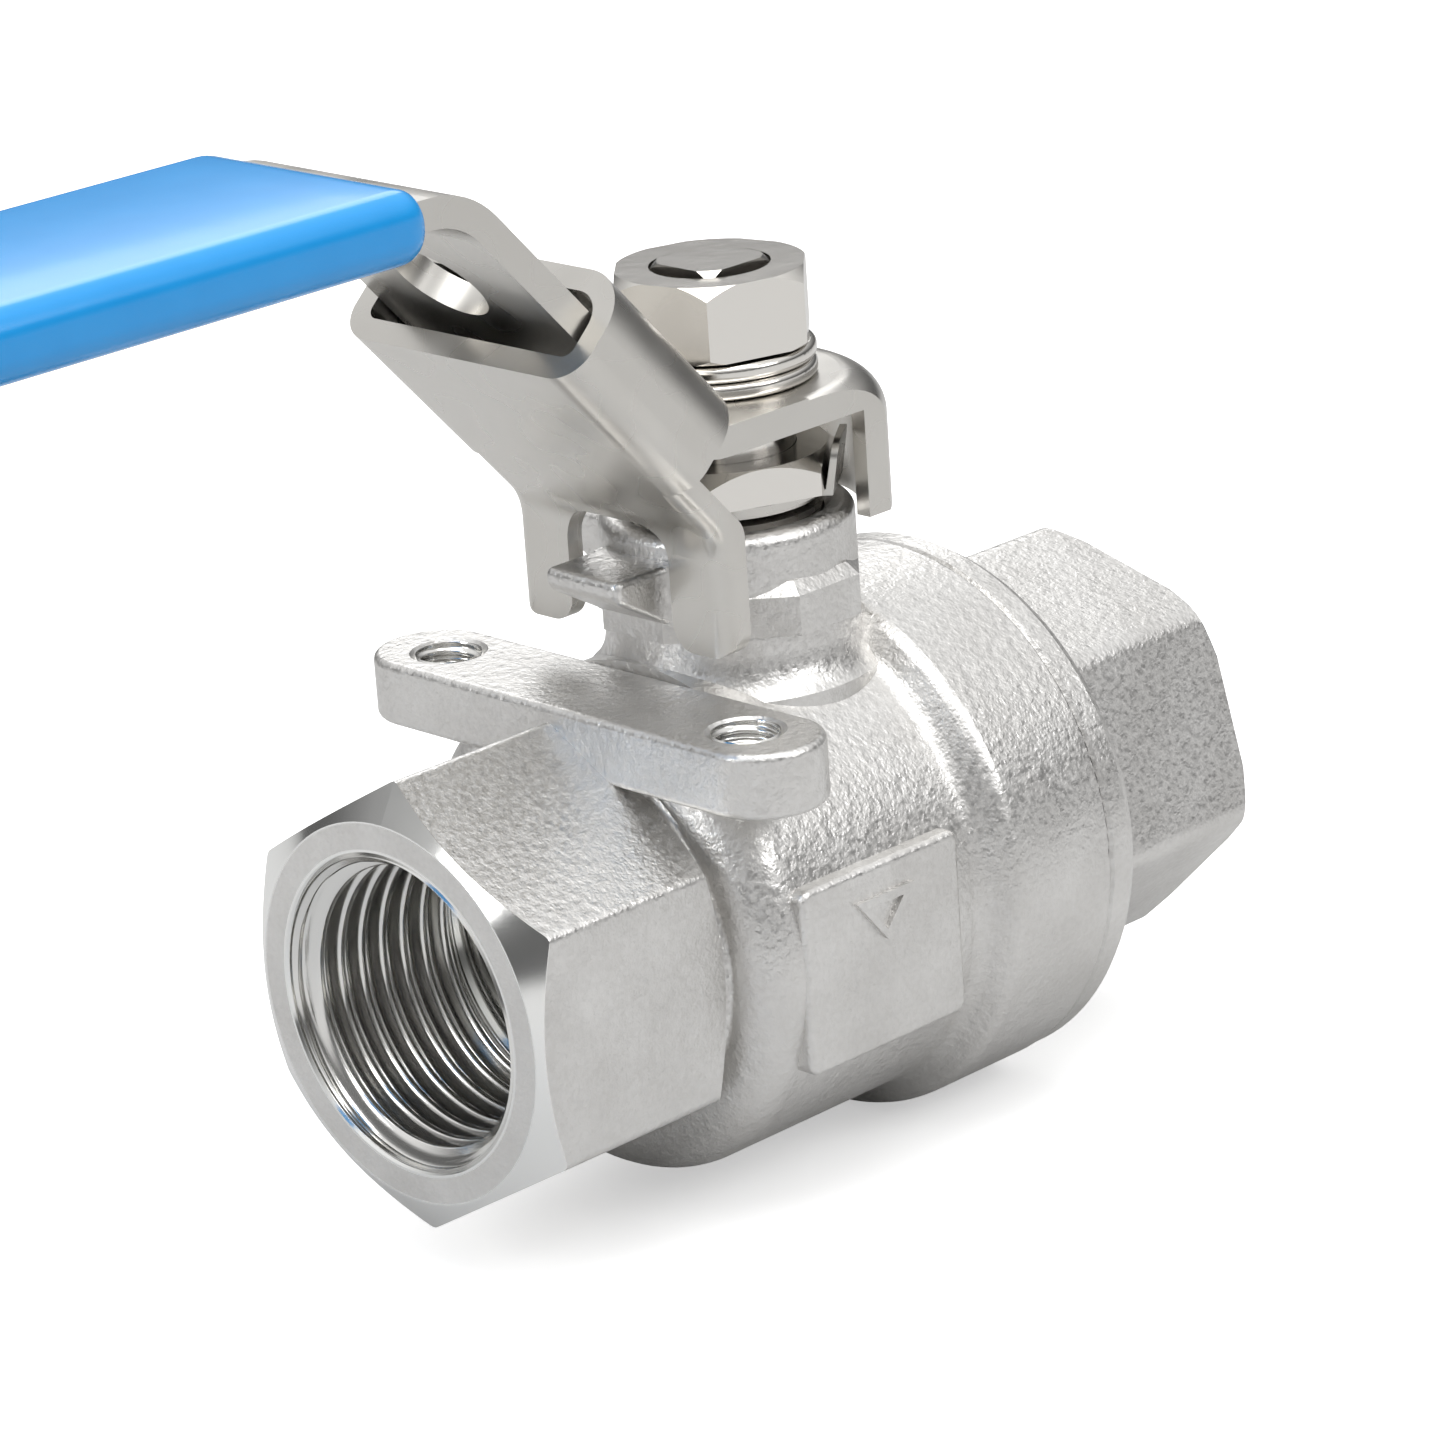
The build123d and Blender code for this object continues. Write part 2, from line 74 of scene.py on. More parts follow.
# turned end of each port: radius where its cone starts, and how far it falls back per radius
BODY_CONE = (12.8 * MM, 0.57)
CAP_CONE = (13.4 * MM, 0.65)
# edges over which a finish changes: round the cone, across the bore's wall, along the bore
CONE_EDGE = (-0.10 * MM, -0.02 * MM)
BORE_EDGE = (10.9 * MM, 11.0 * MM)
BORE_END = (-16.5 * MM, -16.0 * MM)

# part of each half pitch over which a thread rises from root to crest
FLANK = (0.16, 0.84)
SLEEVE_WALL = 0.02 * MM
PORT_GAP = 0.03 * MM
PORT_COUNTERSINK = 0.22 * MM
PORT_START = 0.02 * MM
PORT_GRID = (144, 22)
EAR_DEPTH = 0.3 * MM
EAR_REACH = 4.3 * MM
EAR_GAP = 0.01 * MM
EAR_COUNTERSINK = 0.05 * MM
EAR_START = 0.05 * MM
EAR_GRID = (48, 12)

# slot that the grip's inner end leaves round the lever: half width, half height, corner radius
SLOT_INNER = (8.9 * MM, 1.0 * MM, 0.2 * MM)
SLOT_OUTER = (8.95 * MM, 1.03 * MM, 0.2 * MM)
SLOT_INNER_AT = 4 * MM
SLOT_OUTER_AT = 0.9 * MM

LUG_TOP = 24.22 * MM
LUG_UNDER = 19.9 * MM
LUG_UNDER_AT = 8.4 * MM
LUG_SLOPE = 3.0 / 5.1
LUG_EDGE = 0.45 * MM
LUG_END = 0.5 * MM

CAMERA_AZIMUTH = 136.796
CAMERA_ELEVATION = 18.391
CAMERA_ROLL = -4.157
CAMERA_PLACE = (16.259, 22.838, 350.974)


# ------------------------------------------------------------------ settings


class ValveThreads(bpy.types.PropertyGroup):
    pitch: FloatProperty(
        name="Pipe thread pitch",
        description="Distance between crests, 14 to the inch",
        default=25.4 / 14 * MM,
        unit="LENGTH",
        precision=5,
    )
    depth: FloatProperty(
        name="Pipe thread depth",
        description="From the major to the minor radius",
        default=1.12 * MM,
        unit="LENGTH",
        precision=5,
    )
    reach: FloatProperty(
        name="Threaded length",
        description="How far the pipe thread runs into the port",
        default=14.2 * MM,
        unit="LENGTH",
        precision=4,
    )
    screw_pitch: FloatProperty(
        name="Screw thread pitch",
        description="Pitch of the two tapped ears",
        default=0.8 * MM,
        unit="LENGTH",
        precision=5,
    )


class ValveGrip(bpy.types.PropertyGroup):
    edge: FloatProperty(
        name="Edge radius",
        description="Rounding along the long edges of the dipped grip",
        default=1.75 * MM,
        unit="LENGTH",
        precision=4,
    )
    tip: FloatProperty(
        name="Tip radius",
        description="Plan radius of the two corners at the free end",
        default=7.0 * MM,
        unit="LENGTH",
        precision=4,
    )
    mouth: FloatProperty(
        name="Mouth radius",
        description="Rounding of the end that the lever goes into",
        default=1.9 * MM,
        unit="LENGTH",
        precision=4,
    )


class ValveLugs(bpy.types.PropertyGroup):
    root: FloatProperty(
        name="Root radius",
        description="Where the lug tip starts, from the stem",
        default=7.6 * MM,
        unit="LENGTH",
        precision=4,
    )
    reach: FloatProperty(
        name="Tip radius",
        description="Where the lug ends, from the stem",
        default=13.5 * MM,
        unit="LENGTH",
        precision=4,
    )
    width: FloatProperty(
        name="Lug width",
        description="Width across the lug",
        default=6.76 * MM,
        unit="LENGTH",
        precision=4,
    )


class ValveFinish(bpy.types.PropertyGroup):
    sparkle: FloatProperty(
        name="Sparkle",
        description="Strength of the blasted skin's relief",
        default=0.85,
        min=0.0,
        max=1.0,
    )
    grit: FloatProperty(
        name="Blasting grit",
        description="Size of the marks left by blasting",
        default=0.65 * MM,
        unit="LENGTH",
        precision=5,
    )


# ------------------------------------------------------------------ mesh tools


def solid_from_grid(name, rings):
    """Closed solid from rings of points: rings[i, j] joins to rings[i + 1, j]; each ring closes.

    The first and last rings are closed with a flat fan, unless they are the same ring.
    """
    count, around = rings.shape[:2]
    loops = np.allclose(rings[0], rings[-1])
    if loops:
        rings = rings[:-1]
        count -= 1
    points = rings.reshape(-1, 3)
    ring_a = np.arange(count if loops else count - 1)
    ring_b = (ring_a + 1) % count
    side = np.arange(around)
    nxt = (side + 1) % around
    faces = np.stack(
        [
            ring_a[:, None] * around + side,
            ring_a[:, None] * around + nxt,
            ring_b[:, None] * around + nxt,
            ring_b[:, None] * around + side,
        ],
        axis=-1,
    ).reshape(-1, 4)
    faces = faces.tolist()
    if not loops:
        points = np.vstack([points, rings[0].mean(0), rings[-1].mean(0)])
        first, last = len(points) - 2, len(points) - 1
        base = (count - 1) * around
        faces += [[first, b, a] for a, b in zip(side.tolist(), nxt.tolist())]
        faces += [[last, base + a, base + b] for a, b in zip(side.tolist(), nxt.tolist())]
    return mesh_object(name, points, faces)


def mesh_object(name, points, faces):
    """Object at the origin from points and faces, turned to face outwards by its signed volume."""
    points = np.asarray(points, float)
    first = np.array([points[[f[0], f[1], f[2]]] for f in faces])
    volume = np.einsum("ij,ij->i", first[:, 0], np.cross(first[:, 1], first[:, 2])).sum()
    quads = [f for f in faces if len(f) == 4]
    if quads:
        second = points[np.array([[f[0], f[2], f[3]] for f in quads])]
        volume += np.einsum("ij,ij->i", second[:, 0], np.cross(second[:, 1], second[:, 2])).sum()
    if volume < 0:
        faces = [f[::-1] for f in faces]
    mesh = bpy.data.meshes.new(name)
    mesh.from_pydata(points.tolist(), [], faces)
    mesh.update()
    mesh.shade_smooth()
    piece = bpy.data.objects.new(name, mesh)
    bpy.context.scene.collection.objects.link(piece)
    return piece


def finish_piece(piece, body, material):
    piece.data.materials.clear()
    piece.data.materials.append(material)
    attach(piece, body)


def rounded_section(half_wide, half_high, radius, arc=10):
    """Points round a rounded rectangle: the corner centres plus the radius along each direction."""
    turn = np.linspace(0, math.pi / 2, arc)
    turns = np.concatenate([turn + k * math.pi / 2 for k in range(4)])
    sign_a = np.repeat([1, -1, -1, 1], arc)
    sign_b = np.repeat([1, 1, -1, -1], arc)
    a = sign_a * (half_wide - radius) + radius * np.cos(turns)
    b = sign_b * (half_high - radius) + radius * np.sin(turns)
    return a, b


def smooth(low, high, value):
    t = np.clip((value - low) / (high - low), 0, 1)
    return t * t * (3 - 2 * t)


# ------------------------------------------------------------------ materials


def linear(code):
    """Linear RGBA from an sRGB hex code."""
    parts = [int(code[k : k + 2], 16) / 255 for k in (0, 2, 4)]
    return [c / 12.92 if c <= 0.04045 else ((c + 0.055) / 1.055) ** 2.4 for c in parts] + [1.0]


def add_node(tree, kind, settings=None, inputs=None):
    """Adds a node. settings are its properties; inputs are values, or sockets to link from."""
    made = tree.nodes.new(kind)
    for key, value in (settings or {}).items():
        setattr(made, key, value)
    for key, value in (inputs or {}).items():
        if isinstance(value, bpy.types.NodeSocket):
            tree.links.new(value, made.inputs[key])
        else:
            made.inputs[key].default_value = value
    return made


def new_material(name):
    made = bpy.data.materials.new(name)
    made.use_nodes = True
    tree = made.node_tree
    tree.nodes.clear()
    return made, tree


def grit_bump(tree, place, coarse, fine, height, strength):
    """Bump from two sizes of rounded marks; coarse, fine and height are in metres."""
    big = add_node(tree, "ShaderNodeTexNoise", None,
                   {"Vector": place, "Scale": 1 / coarse, "Detail": 2.0, "Roughness": 0.5})
    small = add_node(tree, "ShaderNodeTexNoise", None,
                     {"Vector": place, "Scale": 1 / fine, "Detail": 1.0, "Roughness": 0.4})
    total = add_node(tree, "ShaderNodeMath", {"operation": "MULTIPLY_ADD"},
                     {0: small.outputs["Fac"], 1: 0.35, 2: big.outputs["Fac"]})
    return add_node(tree, "ShaderNodeBump", None,
                    {"Height": total.outputs[0], "Strength": strength, "Distance": height})


def port_measures(tree, place, face_r, slope):
    """Distance from the port's cone, radius from the pipe axis, and place along that axis.

    The cone is where slope * (radius - face_r) + x is 0, with x measured outwards from the mouth;
    the distance is below 0 in the metal behind it.
    """
    split = add_node(tree, "ShaderNodeSeparateXYZ", None, {0: place})
    x, y, z = split.outputs
    flat = add_node(tree, "ShaderNodeCombineXYZ", None, {"Y": y, "Z": z})
    radius = add_node(tree, "ShaderNodeVectorMath", {"operation": "LENGTH"}, {0: flat.outputs[0]})
    beyond = add_node(tree, "ShaderNodeMath", {"operation": "SUBTRACT"},
                      {0: radius.outputs["Value"], 1: face_r})
    cone = add_node(tree, "ShaderNodeMath", {"operation": "MULTIPLY_ADD"},
                    {0: beyond.outputs[0], 1: slope, 2: x})
    return cone.outputs[0], radius.outputs["Value"], x


def step_between(tree, value, low, high):
    made = add_node(tree, "ShaderNodeMapRange", {"interpolation_type": "SMOOTHSTEP"},
                    {"Value": value, "From Min": low, "From Max": high})
    return made.outputs["Result"]


def cast_stainless():
    """Investment-cast stainless steel, bead blasted: soft satin with fine bright marks."""
    made, tree = new_material("cast_stainless_blasted")
    finish = bpy.context.scene.valve_finish
    place = add_node(tree, "ShaderNodeTexCoord").outputs["Object"]
    cloud = add_node(tree, "ShaderNodeTexNoise", None,
                     {"Vector": place, "Scale": 1 / (6 * MM), "Detail": 3.0})
    tint = add_node(tree, "ShaderNodeMix", {"data_type": "RGBA"},
                    {"Factor": cloud.outputs["Fac"], "A": linear("d0cecb"), "B": linear("e9e8e6")})
    speck = add_node(tree, "ShaderNodeTexNoise", None,
                     {"Vector": place, "Scale": 1 / (0.35 * MM), "Detail": 1.0})
    rough = add_node(tree, "ShaderNodeMapRange", None,
                     {"Value": speck.outputs["Fac"], "From Min": 0.35, "From Max": 0.7,
                      "To Min": 0.46, "To Max": 0.28})
    bump = grit_bump(tree, place, finish.grit, finish.grit * 0.35, 0.10 * MM, finish.sparkle)
    shader = add_node(tree, "ShaderNodeBsdfPrincipled", None,
                      {"Base Color": tint.outputs["Result"], "Metallic": 1.0,
                       "Roughness": rough.outputs["Result"], "Normal": bump.outputs[0]})
    add_node(tree, "ShaderNodeOutputMaterial", None, {"Surface": shader.outputs[0]})
    return made


def turned_stainless():
    """Machined stainless: bright, with fine turning rings round the pipe axis."""
    made, tree = new_material("turned_stainless")
    place = add_node(tree, "ShaderNodeTexCoord").outputs["Object"]
    split = add_node(tree, "ShaderNodeSeparateXYZ", None, {0: place})
    flat = add_node(tree, "ShaderNodeCombineXYZ", None,
                    {"Y": split.outputs["Y"], "Z": split.outputs["Z"]})
    radius = add_node(tree, "ShaderNodeVectorMath", {"operation": "LENGTH"}, {0: flat.outputs[0]})
    rings = add_node(tree, "ShaderNodeCombineXYZ", None,
                     {"X": split.outputs["X"], "Y": radius.outputs["Value"]})
    lathe = add_node(tree, "ShaderNodeTexNoise", None,
                     {"Vector": rings.outputs[0], "Scale": 1 / (0.09 * MM), "Detail": 2.0})
    bump = add_node(tree, "ShaderNodeBump", None,
                    {"Height": lathe.outputs["Fac"], "Strength": 0.2, "Distance": 0.01 * MM})
    shader = add_node(tree, "ShaderNodeBsdfPrincipled", None,
                      {"Base Color": linear("e6e5e2"), "Metallic": 1.0, "Roughness": 0.18,
                       "Normal": bump.outputs[0]})
    add_node(tree, "ShaderNodeOutputMaterial", None, {"Surface": shader.outputs[0]})
    return made


def casting_with_turned_port(name, mouth_x, side, face_r, slope):
    """The casting's skin with its turned port: face, cone and bore bright, the rest blasted."""
    made, tree = new_material(name)
    finish = bpy.context.scene.valve_finish
    raw = add_node(tree, "ShaderNodeTexCoord").outputs["Object"]
    place = add_node(tree, "ShaderNodeMapping", None,
                     {"Vector": raw, "Location": (-mouth_x * side, 0, 0),
                      "Scale": (side, 1, 1)}).outputs[0]
    cone, radius, along = port_measures(tree, place, face_r, slope)
    on_cone = step_between(tree, cone, *CONE_EDGE)
    in_bore = add_node(tree, "ShaderNodeMath", {"operation": "SUBTRACT"},
                       {0: 1.0, 1: step_between(tree, radius, *BORE_EDGE)}).outputs[0]
    near_port = step_between(tree, along, *BORE_END)
    bore = add_node(tree, "ShaderNodeMath", {"operation": "MULTIPLY"},
                    {0: in_bore, 1: near_port}).outputs[0]
    mask = add_node(tree, "ShaderNodeMath", {"operation": "MAXIMUM"},
                    {0: on_cone, 1: bore}).outputs[0]
    cloud = add_node(tree, "ShaderNodeTexNoise", None,
                     {"Vector": raw, "Scale": 1 / (5 * MM), "Detail": 3.0})
    skin = add_node(tree, "ShaderNodeMix", {"data_type": "RGBA"},
                    {"Factor": cloud.outputs["Fac"], "A": linear("cfcdca"), "B": linear("eae9e7")})
    tint = add_node(tree, "ShaderNodeMix", {"data_type": "RGBA"},
                    {"Factor": mask, "A": skin.outputs["Result"], "B": linear("f0f0ee")})
    speck = add_node(tree, "ShaderNodeTexNoise", None,
                     {"Vector": raw, "Scale": 1 / (0.4 * MM), "Detail": 1.0})
    dull = add_node(tree, "ShaderNodeMapRange", None,
                    {"Value": speck.outputs["Fac"], "From Min": 0.35, "From Max": 0.7,
                     "To Min": 0.50, "To Max": 0.30}).outputs["Result"]
    rough = add_node(tree, "ShaderNodeMix", {"data_type": "FLOAT"},
                     {"Factor": mask, "A": dull, "B": 0.13}).outputs["Result"]
    bump = grit_bump(tree, raw, finish.grit, finish.grit * 0.35, 0.10 * MM, finish.sparkle)
    strength = add_node(tree, "ShaderNodeMapRange", None,
                        {"Value": mask, "To Min": finish.sparkle, "To Max": 0.0}).outputs["Result"]
    tree.links.new(strength, bump.inputs["Strength"])
    shader = add_node(tree, "ShaderNodeBsdfPrincipled", None,
                      {"Base Color": tint.outputs["Result"], "Metallic": 1.0,
                       "Roughness": rough, "Normal": bump.outputs[0]})
    add_node(tree, "ShaderNodeOutputMaterial", None, {"Surface": shader.outputs[0]})
    return made


def rolled_stainless():
    """Cold-rolled stainless sheet, tumbled: smooth satin, slightly cloudy."""
    made, tree = new_material("rolled_stainless_satin")
    place = add_node(tree, "ShaderNodeTexCoord").outputs["Object"]
    cloud = add_node(tree, "ShaderNodeTexNoise", None,
                     {"Vector": place, "Scale": 1 / (3.5 * MM), "Detail": 0.0})
    tint = add_node(tree, "ShaderNodeMix", {"data_type": "RGBA"},
                    {"Factor": cloud.outputs["Fac"], "A": linear("ccc9c4"), "B": linear("dad8d3")})
    rough = add_node(tree, "ShaderNodeMapRange", None,
                     {"Value": cloud.outputs["Fac"], "From Min": 0.3, "From Max": 0.7,
                      "To Min": 0.24, "To Max": 0.32})
    bump = add_node(tree, "ShaderNodeBump", None,
                    {"Height": cloud.outputs["Fac"], "Strength": 0.15, "Distance": 0.06 * MM})
    shader = add_node(tree, "ShaderNodeBsdfPrincipled", None,
                      {"Base Color": tint.outputs["Result"], "Metallic": 1.0,
                       "Roughness": rough.outputs["Result"], "Normal": bump.outputs[0]})
    add_node(tree, "ShaderNodeOutputMaterial", None, {"Surface": shader.outputs[0]})
    return made


def bright_stainless():
    """Cold-formed stainless fasteners: bright, with slight unevenness from forming."""
    made, tree = new_material("bright_stainless")
    place = add_node(tree, "ShaderNodeTexCoord").outputs["Object"]
    wave = add_node(tree, "ShaderNodeTexNoise", None,
                    {"Vector": place, "Scale": 1 / (2.2 * MM), "Detail": 2.0})
    bump = add_node(tree, "ShaderNodeBump", None,
                    {"Height": wave.outputs["Fac"], "Strength": 0.25, "Distance": 0.05 * MM})
    shader = add_node(tree, "ShaderNodeBsdfPrincipled", None,
                      {"Base Color": linear("e4e1dc"), "Metallic": 1.0, "Roughness": 0.17,
                       "Normal": bump.outputs[0]})
    add_node(tree, "ShaderNodeOutputMaterial", None, {"Surface": shader.outputs[0]})
    return made


def dipped_vinyl():
    """Dip-moulded PVC: glossy, saturated blue with a slightly wavy skin."""
    made, tree = new_material("dipped_vinyl_blue")
    place = add_node(tree, "ShaderNodeTexCoord").outputs["Object"]
    wave = add_node(tree, "ShaderNodeTexNoise", None,
                    {"Vector": place, "Scale": 1 / (3.5 * MM), "Detail": 1.0})
    tint = add_node(tree, "ShaderNodeMix", {"data_type": "RGBA"},
                    {"Factor": wave.outputs["Fac"], "A": linear("1292dc"), "B": linear("1b9ae4")})
    bump = add_node(tree, "ShaderNodeBump", None,
                    {"Height": wave.outputs["Fac"], "Strength": 0.15, "Distance": 0.05 * MM})
    shader = add_node(tree, "ShaderNodeBsdfPrincipled", None,
                      {"Base Color": tint.outputs["Result"], "Roughness": 0.22, "IOR": 1.53,
                       "Coat Weight": 0.3, "Coat Roughness": 0.08, "Normal": bump.outputs[0]})
    add_node(tree, "ShaderNodeOutputMaterial", None, {"Surface": shader.outputs[0]})
    return made


def plain_inner(name, code, rough, metal):
    """Material of a hidden inner piece, with faint mottling."""
    made, tree = new_material(name)
    place = add_node(tree, "ShaderNodeTexCoord").outputs["Object"]
    cloud = add_node(tree, "ShaderNodeTexNoise", None,
                     {"Vector": place, "Scale": 1 / (1.5 * MM), "Detail": 2.0})
    varied = add_node(tree, "ShaderNodeMapRange", None,
                      {"Value": cloud.outputs["Fac"], "To Min": rough * 0.8, "To Max": rough * 1.2})
    shader = add_node(tree, "ShaderNodeBsdfPrincipled", None,
                      {"Base Color": linear(code), "Metallic": metal,
                       "Roughness": varied.outputs["Result"]})
    add_node(tree, "ShaderNodeOutputMaterial", None, {"Surface": shader.outputs[0]})
    return made


MAKERS = {
    "body": lambda: casting_with_turned_port("body_casting", 0.0, 1, *BODY_CONE),
    "cap": lambda: casting_with_turned_port("cap_casting", CAP_LOW.x, -1, *CAP_CONE),
    "cast": cast_stainless,
    "turned": turned_stainless,
    "rolled": rolled_stainless,
    "bright": bright_stainless,
    "vinyl": dipped_vinyl,
    "ball": lambda: plain_inner("ball_polished_stainless", "d8d8da", 0.08, 1.0),
    "ptfe": lambda: plain_inner("ptfe_white", "eeeee8", 0.5, 0.0),
    "rubber": lambda: plain_inner("nitrile_rubber", "1b1b1c", 0.6, 0.0),
}
MATERIALS = {}


def material(key):
    if key not in MATERIALS:
        MATERIALS[key] = MAKERS[key]()
    return MATERIALS[key]


NODE_FINISH = {
    "body": ["valve_body"],
    "cap": ["end_cap"],
    "rolled": ["lever", "lock_sleeve", "tab_washer", "disc_spring_lower", "disc_spring_upper"],
    "bright": ["stem", "gland_nut", "handle_nut", "spring_washers", "packing_gland"],
    "ball": ["ball"],
    "ptfe": ["body_gasket", "body_seat", "cap_seat", "thrust_washer", "packing_ring_lower",
             "packing_ring_middle", "packing_ring_upper"],
    "rubber": ["stem_o_ring"],
}


class VALVE_OT_finishes(bpy.types.Operator):
    """Gives every CAD node the material of the real piece"""

    bl_idname = "valve.finishes"
    bl_label = "Finishes"

    def execute(self, context):
        for key, nodes in NODE_FINISH.items():
            for node in nodes:
                slots = frame["nodes"][node].data.materials
                slots.clear()
                slots.append(material(key))
        return {"FINISHED"}


# ------------------------------------------------------------------ threads


def threaded_sleeve(radius, depth, pitch, reach, mouth, around, per_turn):
    """Internal thread as a closed sleeve along +Z, from its mouth at 0 down to -reach.

    Each point of the inner wall lies at radius - depth * p, where p rises smoothly from 0 at the
    root to 1 at the crest with the phase (distance down / pitch + angle / full turn). The
    countersink of that mouth radius cuts the first crests at 45 degrees.
    """
    steps = int(reach / pitch * per_turn)
    down = np.linspace(0, reach, steps)[:, None]
    angle = np.linspace(0, 2 * math.pi, around, endpoint=False)[None, :]
    phase = (down / pitch + angle / (2 * math.pi)) % 1.0
    crest = smooth(*FLANK, 1 - np.abs(2 * phase - 1))
    fade = smooth(0, 0.6 * pitch, reach - down)
    wall = radius - depth * crest * fade
    wall = np.maximum(wall, mouth - down)
    wall = np.minimum(wall, radius)
    inner = np.stack([wall * np.cos(angle), wall * np.sin(angle), -down + 0 * angle], axis=-1)
    outer_r = radius + SLEEVE_WALL
    foot = np.stack([outer_r * np.cos(angle), outer_r * np.sin(angle), 0 * angle - reach], axis=-1)
    head = np.stack([outer_r * np.cos(angle), outer_r * np.sin(angle), 0 * angle], axis=-1)
    return np.concatenate([inner, foot, head, inner[:1]], axis=0)


def turn_to_x(rings, side, origin_x):
    """Turns a sleeve's +Z to +X or -X and moves its mouth to that x."""
    x = origin_x + side * rings[..., 2]
    return np.stack([x, rings[..., 0], rings[..., 1] * side], axis=-1)


class VALVE_OT_port_threads(bpy.types.Operator):
    """Cuts the pipe threads inside both ports"""

    bl_idname = "valve.port_threads"
    bl_label = "Port threads"

    def execute(self, context):
        sizes = context.scene.valve_threads
        rings = threaded_sleeve(PORT_R - PORT_GAP, sizes.depth, sizes.pitch, sizes.reach,
                                PORT_R + PORT_COUNTERSINK, *PORT_GRID)
        ports = (("body_thread", 1, BODY_HIGH.x), ("cap_thread", -1, CAP_LOW.x))
        for name, side, mouth_x in ports:
            piece = solid_from_grid(name, turn_to_x(rings, side, mouth_x - side * PORT_START))
            finish_piece(piece, "valve", material("turned"))
        return {"FINISHED"}


class VALVE_OT_ear_threads(bpy.types.Operator):
    """Cuts the screw threads in the mounting bar's two ears"""

    bl_idname = "valve.ear_threads"
    bl_label = "Ear threads"

    def execute(self, context):
        sizes = context.scene.valve_threads
        rings = threaded_sleeve(EAR_R - EAR_GAP, EAR_DEPTH, sizes.screw_pitch, EAR_REACH,
                                EAR_R + EAR_COUNTERSINK, *EAR_GRID)
        for name, side in (("ear_thread_left", -1), ("ear_thread_right", 1)):
            place = np.array([EAR_X, side * EAR_SPACING / 2, EAR_TOP - EAR_START])
            piece = solid_from_grid(name, rings + place)
            finish_piece(piece, "valve", material("turned"))
        return {"FINISHED"}


# ------------------------------------------------------------------ grip


class VALVE_OT_grip(bpy.types.Operator):
    """Makes the dipped vinyl grip over the lever's arm"""

    bl_idname = "valve.grip"
    bl_label = "Grip"

    def execute(self, context):
        sizes = context.scene.valve_grip
        rings = np.array(self.rings(sizes))
        piece = solid_from_grid("grip_vinyl", rings)
        finish_piece(piece, "handle", material("vinyl"))
        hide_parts("grip")
        return {"FINISHED"}

    def rings(self, sizes):
        """Rounded rectangles along the arm.

        Both halves shrink as a quarter circle at the mouth, the height does the same at the tip,
        and in plan the tip's corners are quarter circles of the tip radius.
        """
        wide = (GRIP_HIGH.y - GRIP_LOW.y) / 2
        high = (GRIP_HIGH.z - GRIP_LOW.z) / 2
        middle = (GRIP_HIGH.z + GRIP_LOW.z) / 2
        start, end = GRIP_LOW.x, GRIP_HIGH.x
        made = [
            self.ring(start + SLOT_INNER_AT, *SLOT_INNER, middle),
            self.ring(start + SLOT_OUTER_AT, *SLOT_OUTER, middle),
        ]
        for turn in np.linspace(0, math.pi / 2, 10):
            inset = sizes.mouth * (1 - math.sin(turn))
            x = start + sizes.mouth * (1 - math.cos(turn))
            half_high = max(high - inset * 0.5, 1.1 * MM)
            edge = min(sizes.edge, half_high - 0.02 * MM)
            made.append(self.ring(x, wide - inset * 0.55, half_high, edge, middle))
        for x in np.linspace(start + sizes.mouth, end - sizes.tip, 24)[1:]:
            made.append(self.ring(x, wide, high, sizes.edge, middle))
        for turn in np.linspace(0, math.pi / 2, 26)[1:]:
            x = end - sizes.tip * (1 - math.sin(turn))
            half_wide = wide - sizes.tip * (1 - math.cos(turn))
            near = np.clip((x - (end - high)) / high, 0, 0.985)
            half_high = high * math.sqrt(1 - near * near)
            edge = min(sizes.edge, half_high * 0.95)
            made.append(self.ring(x, half_wide, half_high, edge, middle))
        return made

    def ring(self, x, half_wide, half_high, radius, middle):
        a, b = rounded_section(half_wide, half_high, radius)
        return np.stack([x + 0 * a, a, middle + b], axis=-1)


# ------------------------------------------------------------------ lugs


class VALVE_OT_lug_tips(bpy.types.Operator):
    """Runs the neck's two stop lugs out to their full length"""

    bl_idname = "valve.lug_tips"
    bl_label = "Lug tips"

    def execute(self, context):
        sizes = context.scene.valve_lugs
        for name, turn in (("lug_tip_front", 0.0), ("lug_tip_side", -math.pi / 2)):
            rings = np.array(self.rings(sizes))
            cos, sin = math.cos(turn), math.sin(turn)
            x = STEM_X + rings[..., 0] * cos - rings[..., 1] * sin
            y = rings[..., 0] * sin + rings[..., 1] * cos
            piece = solid_from_grid(name, np.stack([x, y, rings[..., 2]], axis=-1))
            finish_piece(piece, "valve", material("cast"))
        return {"FINISHED"}

    def rings(self, sizes):
        """Rounded rectangles outwards from the neck; the underside rises at a steady slope."""
        made = []
        for reach in np.linspace(sizes.root, sizes.reach - LUG_END, 12):
            made.append(self.ring(reach, 0, sizes))
        for turn in np.linspace(0, math.pi / 2, 7)[1:]:
            reach = sizes.reach - LUG_END * (1 - math.sin(turn))
            made.append(self.ring(reach, LUG_END * (1 - math.cos(turn)), sizes))
        return made

    def ring(self, reach, inset, sizes):
        under = LUG_UNDER + (reach - LUG_UNDER_AT) * LUG_SLOPE
        half_high = (LUG_TOP - under) / 2 - inset
        edge = min(LUG_EDGE, half_high * 0.9)
        a, b = rounded_section(sizes.width / 2 - inset, half_high, edge)
        return np.stack([reach + 0 * a, a, (LUG_TOP + under) / 2 + b], axis=-1)


# ------------------------------------------------------------------ studio


